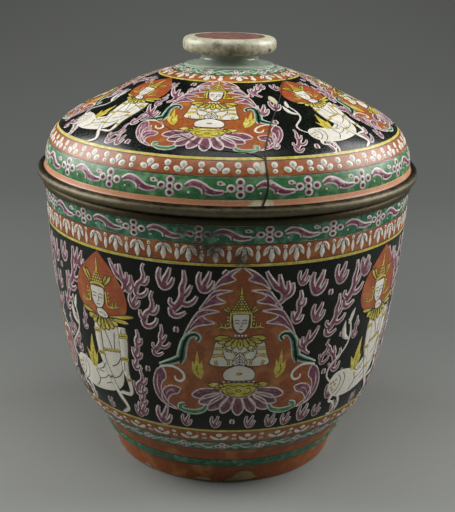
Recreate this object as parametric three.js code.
// Lidded porcelain jar with enamelled bands, in millimetres, +Z up.
// The origin is the centre of the foot ring's underside, where the jar stands.
// Every piece is a turned or thrown ring, so each one is an outline revolved about Z.
import * as THREE from 'three';

// Jar
const jarHeight = 171.6;
const mouthRadius = 107;
const jarWall = 5.2;
const baseRadius = 80.2;
const floorThickness = 7;
const floorCorner = 16;

// Foot ring, its moulding and the cove above it
const footRadius = 67.6;
const footTopRadius = 69.8;
const footHeight = 12;
const footRingWidth = 8.4;
const footRingTaper = 2.2;
const footEdge = 1.1;
const footRecess = 11;
const mouldingHeight = 6.8;
const mouldingTopRadius = 74.4;
const mouldingRise = 1.7;
const coveHeight = 9.5;

// Lid
const lidSetback = 0.4;
const lidRise = 56.9;
const lidWall = 5;
const flangeReach = 3.3;
const flangeThickness = 3.7;
const flangeFillet = 3.6;
const padMargin = 0.9;

// Locating collar under the lid
const collarDepth = 11;
const collarWall = 3.8;
const collarTaper = 0.6;
const collarTaperHeight = 1.2;
const collarPlay = 1.1;

// Folded metal bindings
const bindingThickness = 0.9;
const mouthBindingLeg = 1.3;
const edgeBindingLip = 0.4;

// Knob
const knobRadius = 26.9;
const knobThickness = 8.6;
const knobCrown = 0.6;
const knobNeckRadius = 16.4;
const knobNeckHeight = 7.3;
const knobNeckFillet = 1.2;
const skirtRadius = 25.1;
const skirtEdge = 0.9;

// Fits
const luteGap = 0.3;
const seatGap = 0.3;

// Fineness of the revolved faces
const aroundSteps = 48;
const noseSteps = 6;
const bodySteps = 13;
const coveSteps = 4;
const domeSteps = 14;
const filletSteps = 3;
const skirtSteps = 6;
const buttonSteps = 8;

// Outlines as shares, height first, of the spans that they fill
const bodyShares = [
  [0, 0], [0.06, 0.215], [0.125, 0.395], [0.2, 0.535], [0.32, 0.663],
  [0.48, 0.79], [0.68, 0.91], [0.86, 0.97], [1, 1],
];
const mouldingShares = [[0.1, 0.6], [0.45, 1], [0.82, 0.7]];
const coveShares = [[0, 0], [0.35, 0.16], [0.7, 0.54], [1, 1]];
const filletShares = [[0, 0.3], [0.4, 0.12], [1, 0]];
const domeShares = [
  [0, 1], [0.125, 0.99], [0.29, 0.942], [0.414, 0.866], [0.537, 0.736],
  [0.641, 0.592], [0.747, 0.454], [0.851, 0.304], [0.931, 0.143], [1, 0],
];
const skirtShares = [[0, 1], [0.14, 0.58], [0.34, 0.14], [0.62, 0]];

// Heights and radii that follow from the sizes above
const noseRadius = jarWall / 2;
const noseZ = jarHeight - noseRadius;
const noseCentre = mouthRadius - noseRadius;
const baseZ = footHeight + mouldingHeight + coveHeight;
const floorZ = footRecess + floorThickness;
const lidRadius = mouthRadius - lidSetback;
const seatZ = jarHeight + luteGap + bindingThickness + seatGap;
const flangeTopZ = seatZ + flangeThickness;
const edgeRadius = flangeThickness / 2;
const edgeCentre = mouthRadius + flangeReach - edgeRadius;
const edgeZ = seatZ + edgeRadius;
const crownZ = flangeTopZ + lidRise;
const padRadius = skirtRadius + padMargin;
const collarRadius = mouthRadius - jarWall - luteGap - bindingThickness - collarPlay;
const collarBore = collarRadius - collarWall;
const knobZ = crownZ + luteGap;
const knobUnderZ = knobZ + knobNeckHeight;

// A point of an outline: radius from the axis, height above the ground
function at(radius, height) {
  return new THREE.Vector2(radius, height);
}

// Points on a circle of the outline's plane, both ends included
function arc(centre, radius, from, to, steps) {
  return Array.from({ length: steps + 1 }, (unused, step) => {
    const angle = from + (to - from) * step / steps;
    return at(centre.x + radius * Math.cos(angle), centre.y + radius * Math.sin(angle));
  });
}

// A smooth curve through hand-chosen points
function smooth(points, steps) {
  return new THREE.SplineCurve(points).getPoints(steps);
}

// The same line moved sideways by a distance, to the left of its direction
function moved(points, distance) {
  return points.map((point, index) => {
    const before = points[Math.max(index - 1, 0)];
    const after = points[Math.min(index + 1, points.length - 1)];
    const along = after.clone().sub(before).normalize();
    return at(point.x - along.y * distance, point.y + along.x * distance);
  });
}

// One closed solid of revolution about Z
function turned(name, outline, finish) {
  const geometry = new THREE.LatheGeometry(outline, aroundSteps);
  geometry.rotateX(Math.PI / 2);
  const mesh = new THREE.Mesh(geometry, new THREE.MeshStandardMaterial(finish));
  mesh.name = name;
  return mesh;
}

// The outer curve of the jar, from the top of the cove to the start of the rounded mouth
function bodyCurve() {
  const points = bodyShares.map(([rise, reach]) =>
    at(baseRadius + reach * (mouthRadius - baseRadius), baseZ + rise * (noseZ - baseZ)));
  return smooth(points, bodySteps);
}

// Foot ring, moulding and cove, from the ground up
function footOutline() {
  const mouldingSpan = mouldingTopRadius - footTopRadius;
  const moulding = mouldingShares.map(([rise, bulge]) => at(
    footTopRadius + rise * mouldingSpan + bulge * mouldingRise, footHeight + rise * mouldingHeight));
  const cove = coveShares.map(([rise, reach]) => at(
    mouldingTopRadius + reach * (baseRadius - mouldingTopRadius),
    footHeight + mouldingHeight + rise * coveHeight));
  return [
    at(footRadius - footEdge, 0),
    at(footRadius, footEdge),
    at(footTopRadius, footHeight),
    ...moulding,
    ...smooth(cove, coveSteps),
  ];
}

// The inside of the jar, from the mouth down to the middle of the floor
function insideOutline(body) {
  const wallLine = moved(body.slice(0, -1), jarWall)
    .filter((point) => point.y > floorZ + floorCorner)
    .reverse();
  const [above, last] = wallLine.slice(-2);
  const lean = (above.x - last.x) / (above.y - last.y);
  const meeting = at(last.x - lean * (last.y - floorZ), floorZ);
  const corner = new THREE.QuadraticBezierCurve(last, meeting, at(meeting.x - floorCorner, floorZ));
  return [...wallLine, ...corner.getPoints(noseSteps).slice(1), at(0, floorZ)];
}

// Jar thrown in one with its foot ring, which is turned from the thick base
function jarBody() {
  const body = bodyCurve();
  const ringBore = footRadius - footRingWidth;
  const outline = [
    at(0, footRecess),
    at(ringBore - footRingTaper, footRecess - footEdge),
    at(ringBore, footEdge),
    at(ringBore + footEdge, 0),
    ...footOutline(),
    ...body.slice(1),
    ...arc(at(noseCentre, noseZ), noseRadius, 0, Math.PI, noseSteps).slice(1),
    ...insideOutline(body),
  ];
  return turned('jar_body', outline, { color: 0x1c1a16, roughness: 0.28, metalness: 0 });
}

// A strip of metal folded round a rounded edge, with legs that run on past the rounding
function foldedStrip(centre, edge, from, to, leg) {
  const inner = edge + luteGap;
  const outer = inner + bindingThickness;
  const run = at(Math.sin(from), -Math.cos(from)).multiplyScalar(leg);
  const back = at(-Math.sin(to), Math.cos(to)).multiplyScalar(leg);
  const outside = arc(centre, outer, from, to, noseSteps);
  const inside = arc(centre, inner, to, from, noseSteps);
  const start = outside[0].clone().add(run);
  const end = inside[noseSteps].clone().add(run);
  const farOutside = outside[noseSteps].clone().add(back);
  const farInside = inside[0].clone().add(back);
  return [start, ...outside, farOutside, farInside, ...inside, end, start.clone()];
}

// Metal binding folded over the jar's mouth
function jarMouthBinding() {
  const outline = foldedStrip(at(noseCentre, noseZ), noseRadius, 0, Math.PI, mouthBindingLeg);
  return turned('jar_mouth_binding', outline, { color: 0x5c4a2c, roughness: 0.42, metalness: 1 });
}

// Metal binding folded round the edge of the lid's flange
function lidEdgeBinding() {
  const outline = foldedStrip(at(edgeCentre, edgeZ), edgeRadius, -Math.PI / 2, Math.PI / 2, edgeBindingLip);
  return turned('lid_edge_binding', outline, { color: 0x4c3f2a, roughness: 0.38, metalness: 1 });
}

// Lid with its flange, wall and dome, closed under the knob
function lidShell() {
  const domeFootZ = flangeTopZ + flangeFillet;
  const dome = smooth(domeShares.map(([rise, reach]) =>
    at(padRadius + reach * (lidRadius - padRadius), domeFootZ + rise * (crownZ - domeFootZ))), domeSteps);
  const fillet = smooth(filletShares.map(([rise, reach]) =>
    at(lidRadius + reach * flangeFillet, flangeTopZ + rise * flangeFillet)), filletSteps);
  const inside = moved(dome, lidWall).filter((point) => point.x < collarBore).reverse();
  const outline = [
    at(collarBore, seatZ),
    ...arc(at(edgeCentre, edgeZ), edgeRadius, -Math.PI / 2, Math.PI / 2, noseSteps),
    ...fillet,
    ...dome.slice(1),
    at(0, crownZ),
    at(0, crownZ - lidWall),
    ...inside,
    at(collarBore, seatZ),
  ];
  return turned('lid_shell', outline, { color: 0x3a3026, roughness: 0.26, metalness: 0 });
}

// Ring under the lid that drops inside the mouth and keeps the lid from sliding
function lidCollar() {
  const topZ = seatZ - luteGap;
  const outline = [
    at(collarBore, topZ - collarDepth),
    at(collarRadius - collarTaper, topZ - collarDepth),
    at(collarRadius, topZ - collarDepth + collarTaperHeight),
    at(collarRadius, topZ),
    at(collarBore, topZ),
    at(collarBore, topZ - collarDepth),
  ];
  return turned('lid_collar', outline, { color: 0xcfcbbd, roughness: 0.3, metalness: 0 });
}

// Knob: low skirt, short neck and a thick rounded button
function lidKnob() {
  const buttonRadius = knobThickness / 2;
  const buttonEdge = at(knobRadius - buttonRadius, knobUnderZ + buttonRadius);
  const skirt = smooth(skirtShares.map(([rise, reach]) => at(
    knobNeckRadius + reach * (skirtRadius - knobNeckRadius),
    knobZ + skirtEdge + rise * (knobNeckHeight - skirtEdge))), skirtSteps);
  const outline = [
    at(0, knobZ),
    at(skirtRadius, knobZ),
    ...skirt,
    at(knobNeckRadius, knobUnderZ - knobNeckFillet),
    at(knobNeckRadius + knobNeckFillet, knobUnderZ),
    ...arc(buttonEdge, buttonRadius, -Math.PI / 2, Math.PI / 2, buttonSteps),
    at(0, knobUnderZ + knobThickness + knobCrown),
  ];
  return turned('lid_knob', outline, { color: 0xa3a58c, roughness: 0.24, metalness: 0 });
}

const jar = new THREE.Group();
jar.add(jarBody(), jarMouthBinding());

const lid = new THREE.Group();
lid.add(lidShell(), lidCollar(), lidEdgeBinding(), lidKnob());

const liddedJar = new THREE.Group();
liddedJar.add(jar, lid);

export default liddedJar;
